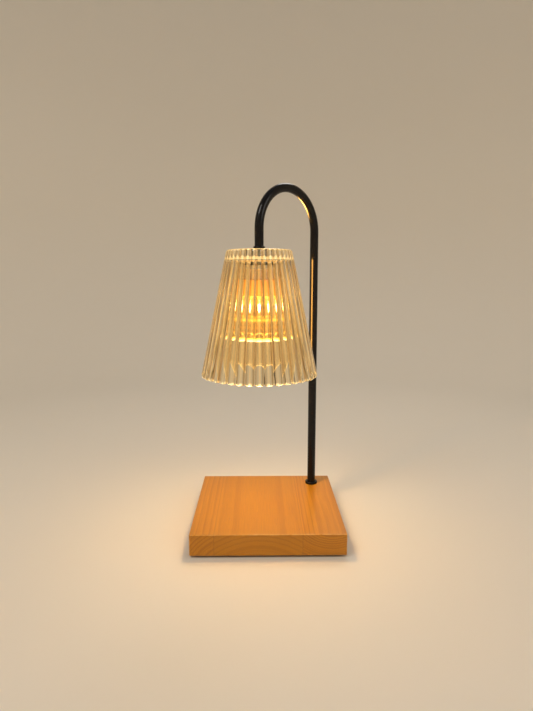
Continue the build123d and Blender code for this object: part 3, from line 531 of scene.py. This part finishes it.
def reflector_glass():
    """Coated glass that passes amber light: brightest round the filament and at the rim."""
    paint = Paint("reflector_glass", (1.0, 0.84, 0.56), Roughness=0.05, Coat_Weight=0.5,
                  Coat_Roughness=0.05, Transmission_Weight=1.0, IOR=1.5)
    from_x, from_y, z = paint.from_shade_axis()
    height = paint.fit(z, reflector_low.z, reflector_high.z)
    turn = paint.sum("ARCTAN2", from_y, from_x)
    across = paint.sum("ABSOLUTE", paint.sum("SINE", paint.sum(
        "MULTIPLY", turn, FACETS_AROUND / 2)))
    along = paint.sum("ABSOLUTE", paint.sum("SINE", paint.sum(
        "MULTIPLY", height, pi * FACET_ROWS * 1.15)))
    sparkle = paint.sum("POWER", paint.sum("MULTIPLY", across, along), 5.0)
    amber, yellow, white = (1.0, 0.46, 0.06), (1.0, 0.62, 0.06), (1.0, 0.84, 0.50)
    paint.put(paint.shader, "Emission Color", paint.ramp(height, [
        (0.0, white), (0.06, yellow), (0.12, amber), (0.34, amber), (0.39, yellow),
        (0.44, yellow), (0.49, amber), (0.60, amber), (0.70, yellow), (1.0, yellow)]))
    level = paint.levels(height, (0.0, 1.0), (0.05, 0.6), (0.08, 0.015), (0.38, 0.015),
                         (0.40, 0.26), (0.43, 0.26), (0.45, 0.02), (0.66, 0.03), (0.72, 0.13),
                         (1.0, 0.13))
    level = paint.sum("ADD", level, paint.sum("MULTIPLY", sparkle, 0.16))
    paint.put(paint.shader, "Emission Strength", paint.sum(
        "MULTIPLY", paint.outside(), paint.sum("MULTIPLY", level, REFLECTOR_GLOW)))
    paint.bump(paint.noise(220.0, detail=1.0), 0.03 * MM)
    paint.lets_lamps_through()
    return paint


def face_glass():
    """The bulb's clear front glass: bright underneath, where the beam leaves it."""
    paint = Paint("bulb_face", (1.0, 0.98, 0.94), Transmission_Weight=1.0, IOR=1.5,
                  Roughness=0.03, Emission_Color=(1.0, 0.72, 0.34))
    from_x, from_y, _ = paint.from_shade_axis()
    upright = paint.split(paint.add("ShaderNodeTexCoord").outputs["Normal"])[2]
    downwards = paint.sum("MULTIPLY", paint.outside(), paint.fit(upright, -0.9, -0.6, 1.0, 0.0))
    beam = paint.fit(paint.length(from_x, from_y), 4 * MM, 24 * MM, *FACE_GLOW)
    paint.put(paint.shader, "Emission Strength", paint.sum("MULTIPLY", downwards, beam))
    paint.bump(paint.noise(300.0, detail=1.0), 0.01 * MM)
    paint.lets_lamps_through()
    return paint


def capsule_quartz():
    """The clear capsule, glowing round the filament."""
    paint = Paint("capsule_quartz", (1.0, 0.99, 0.96), Transmission_Weight=1.0, IOR=1.46,
                  Roughness=0.03, Emission_Color=WHITE_GLOW)
    z = paint.split()[2]
    hot = paint.levels(paint.fit(z, capsule_low.z, capsule_high.z), (0.0, 0.03), (0.10, 1.0),
                       (0.28, 1.0), (0.36, 0.03), (1.0, 0.02))
    paint.put(paint.shader, "Emission Strength", paint.sum(
        "MULTIPLY", paint.outside(), paint.sum("MULTIPLY", hot, CAPSULE_GLOW)))
    paint.bump(paint.noise(300.0, detail=1.0), 0.01 * MM)
    paint.lets_lamps_through()
    return paint


def hot_wire(coil_top):
    """Tungsten, white hot in the coil and dull on the supports above it."""
    paint = Paint("tungsten", (0.30, 0.27, 0.24), Metallic=1.0, Emission_Color=WHITE_GLOW)
    speck = paint.noise(2500.0, detail=2.0)
    paint.put(paint.shader, "Roughness", paint.fit(speck, 0.3, 0.7, 0.35, 0.55))
    hot = paint.fit(paint.split()[2], coil_top, coil_top + 1.2 * MM, 1.0, 0.02)
    paint.put(paint.shader, "Emission Strength", paint.sum(
        "MULTIPLY", hot, paint.fit(speck, 0.3, 0.7, *WIRE_GLOW)))
    return paint


def arc_through(first, middle, last, steps):
    """Points (r, z) on the circle through three profile points."""
    (ax, ay), (bx, by), (cx, cy) = first, middle, last
    twice = 2 * (ax * (by - cy) + bx * (cy - ay) + cx * (ay - by))
    a2, b2, c2 = ax * ax + ay * ay, bx * bx + by * by, cx * cx + cy * cy
    mx = (a2 * (by - cy) + b2 * (cy - ay) + c2 * (ay - by)) / twice
    my = (a2 * (cx - bx) + b2 * (ax - cx) + c2 * (bx - ax)) / twice
    start = degrees(atan2(ay - my, ax - mx))
    turn = (degrees(atan2(cy - my, cx - mx)) - start + 180) % 360 - 180
    return arc_points((mx, my), hypot(ax - mx, ay - my), start, start + turn, steps)


def facet_radius(r, turn):
    """A ring drawn as a polygon, so that the inside of the reflector is faceted."""
    half = pi / FACETS_AROUND
    return r * cos(half) / cos(turn % (2 * half) - half)


def bulb_reflector():
    """A turned glass bowl with a neck, a straight rim and rows of flat facets inside."""
    top, foot = reflector_high.z, reflector_low.z
    neck_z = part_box("bulb_base")[0].z
    waist_z = neck_z - WAIST_DROP
    rim_z = foot + RIM_BAND
    outer = [(NECK_R, top)] + arc_through((NECK_R, neck_z), (WAIST_R, waist_z),
                                          (FACE_R - RIM_WALL / 2, rim_z), 28)
    outer += [(FACE_R - 0.2 * MM, rim_z), (FACE_R, rim_z - 0.2 * MM), (FACE_R, foot + 0.4 * MM),
              (FACE_R - 0.4 * MM, foot), (FACE_R - RIM_WALL, foot)]
    ledge_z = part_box("bulb_front_glass")[1].z
    outer.append((FACE_R - RIM_WALL, ledge_z))
    inner = arc_through((FACE_R - RIM_WALL - FACE_LEDGE, ledge_z),
                        (WAIST_R - REFLECTOR_WALL, waist_z), (NECK_R - REFLECTOR_WALL, neck_z),
                        FACET_ROWS)
    inner_end = (NECK_R - REFLECTOR_WALL, top)
    rows = []
    for (r, z), faceted in ([(spot, False) for spot in outer] + [(spot, True) for spot in inner]
                            + [(inner_end, False)]):
        row = []
        for spot in range(REFLECTOR_AROUND):
            turn = 2 * pi * spot / REFLECTOR_AROUND
            row.append(round_axis(facet_radius(r, turn) if faceted else r, turn, z))
        rows.append(row)
    piece = grid_mesh("faceted_reflector", rows, reflector_glass(), sharp=5.0, closed=True)
    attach(piece, "bulb")
    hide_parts("bulb_reflector")


def coiled_filament():
    """A close coil of fine wire between two upright supports."""
    coil_r, wire_r, turns, steps = 0.75 * MM, 0.11 * MM, 15, 14
    support_r, leg, coil_height = 0.22 * MM, 1.5 * MM, 7.0 * MM
    foot, coil_top = filament_low.z + wire_r, filament_low.z + coil_height
    points = []
    for step in range(turns * steps + 1):
        turn = 2 * pi * step / steps
        points.append(round_axis(coil_r, turn,
                                 foot + (coil_top - foot) * step / (turns * steps)))
    top = filament_high.z - support_r
    loops = [(points, wire_r),
             ([points[-1], (shade_x + leg, shade_y, coil_top + 0.6 * MM),
               (shade_x + leg, shade_y, top)], support_r),
             ([points[0], (shade_x - leg, shade_y, foot + 0.8 * MM),
               (shade_x - leg, shade_y, top)], support_r)]
    data = bpy.data.curves.new("filament_coil", "CURVE")
    data.dimensions = "3D"
    data.bevel_depth = 1.0
    data.bevel_resolution = 2
    data.use_fill_caps = True
    for path, radius in loops:
        spline = data.splines.new("POLY")
        spline.points.add(len(path) - 1)
        for point, place in zip(spline.points, path):
            point.co = (*place, 1.0)
            point.radius = radius
    data.materials.append(hot_wire(coil_top).mat)
    piece = bpy.data.objects.new("filament_coil", data)
    bpy.context.scene.collection.objects.link(piece)
    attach(piece, "bulb")
    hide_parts("bulb_filament")


dress(glowing_ceramic(), "bulb_base")
dress(face_glass(), "bulb_front_glass")
dress(capsule_quartz(), "bulb_capsule")
bulb_reflector()
coiled_filament()


# ---------------------------------------------------------------- camera
FOCAL_PX = 534.0
FRAME_HEIGHT_PX = 711
CAMERA_DOWN, CAMERA_TURN = 8.562, -0.712        # degrees
camera_data = bpy.data.cameras.new("camera")
camera_data.sensor_width = 36.0
camera_data.lens = FOCAL_PX * camera_data.sensor_width / FRAME_HEIGHT_PX
camera_data.clip_start = 0.01
camera = bpy.data.objects.new("camera", camera_data)
camera.location = (-7.006 * MM, -510.878 * MM, 247.788 * MM)
camera.rotation_euler = (radians(90 - CAMERA_DOWN), 0, radians(CAMERA_TURN))
bpy.context.scene.collection.objects.link(camera)
bpy.context.scene.camera = camera


# ---------------------------------------------------------------- studio
FLOOR_R, BEND_R, WALL_TOP = 0.75, 0.45, 2.6
STUDIO_SIDES = 96
NEUTRAL_LAMP = (1.0, 0.97, 0.94)
SHADE_LIGHT = (1.0, 0.46, 0.09)
GLINT_GAP = 20 * MM             # from the post's axis to the streak's lamp


def studio():
    """A round pale floor that curves up into a wall on every side."""
    paint = Paint("studio", (0.77, 0.71, 0.61), Roughness=0.75)
    profile = [(0.001, 0.0), (0.35, 0.0), (FLOOR_R, 0.0)]
    profile += arc_points((FLOOR_R, BEND_R), BEND_R, -90, 0, 12)[1:]
    profile.append((FLOOR_R + BEND_R, WALL_TOP))
    rows = [[(r * cos(2 * pi * spot / STUDIO_SIDES), r * sin(2 * pi * spot / STUDIO_SIDES), z)
             for spot in range(STUDIO_SIDES)] for r, z in profile]
    floor = grid_mesh("studio_floor", rows, paint, sharp=80.0)


def add_light(name, kind, place, power, colour, facing=None, unseen=(), **settings):
    """A lamp that shines along facing; the kinds of ray in unseen pass it by."""
    data = bpy.data.lights.new(name, kind)
    data.energy = power
    data.color = colour
    for key, value in settings.items():
        setattr(data, key, value)
    light = bpy.data.objects.new(name, data)
    light.location = place
    if facing is not None:
        light.rotation_euler = Vector(facing).to_track_quat("-Z", "Y").to_euler()
    for ray in unseen:
        setattr(light, f"visible_{ray}", False)
    bpy.context.scene.collection.objects.link(light)


def glint(name, place, facing, size, power, spread):
    """The lit shade as gloss paint near it mirrors it: an area lamp seen in gloss alone."""
    add_light(name, "AREA", place, power, SHADE_LIGHT, facing,
              ("camera", "diffuse", "transmission"), shape="RECTANGLE", size=size[0],
              size_y=size[1], spread=radians(spread))


def lamp(name, place, size, power, colour=NEUTRAL_LAMP, spread=180):
    """A round soft studio lamp aimed at the middle of the object."""
    add_light(name, "AREA", place, power, colour, Vector((0, 0, 0.16)) - Vector(place),
              ("transmission",), shape="DISK", size=size, spread=radians(spread))


studio()
# The bulb's light on what is round it; the glass and the wire glow by themselves.
add_light("bulb_light", "POINT", (shade_x, shade_y, (filament_low.z + capsule_low.z) / 2), 0.40,
          (1.0, 0.52, 0.16), unseen=("camera", "transmission"), shadow_soft_size=6 * MM)
post = sum(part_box("post_collar"), Vector()) / 2
to_post = Vector((post.x - shade_x, post.y - shade_y, 0.0)).normalized()
glint("shade_glint", (post.x - to_post.x * GLINT_GAP, post.y - to_post.y * GLINT_GAP,
                      (shade_low.z + shade_high.z) / 2), to_post, (12 * MM, 105 * MM), 0.22, 180)
glint("hook_glint", (-15 * MM, 104 * MM, 262 * MM), (0.54, -0.63, 0.56),
      (75 * MM, 42 * MM), 0.12, 50)
lamp("key", (-0.75, -0.75, 1.25), 0.7, 8.2, (1.0, 0.97, 0.93))
lamp("fill", (0.85, -0.55, 0.75), 0.6, 2.1)
lamp("back", (0.25, 0.85, 1.15), 0.5, 1.9, spread=140)

world = bpy.data.worlds.new("world")
world.use_nodes = True
sky = world.node_tree.nodes["Background"]
sky.inputs["Color"].default_value = (0.92, 0.94, 1.0, 1)
sky.inputs["Strength"].default_value = 0.26
bpy.context.scene.world = world
bpy.context.scene.view_settings.view_transform = "Standard"
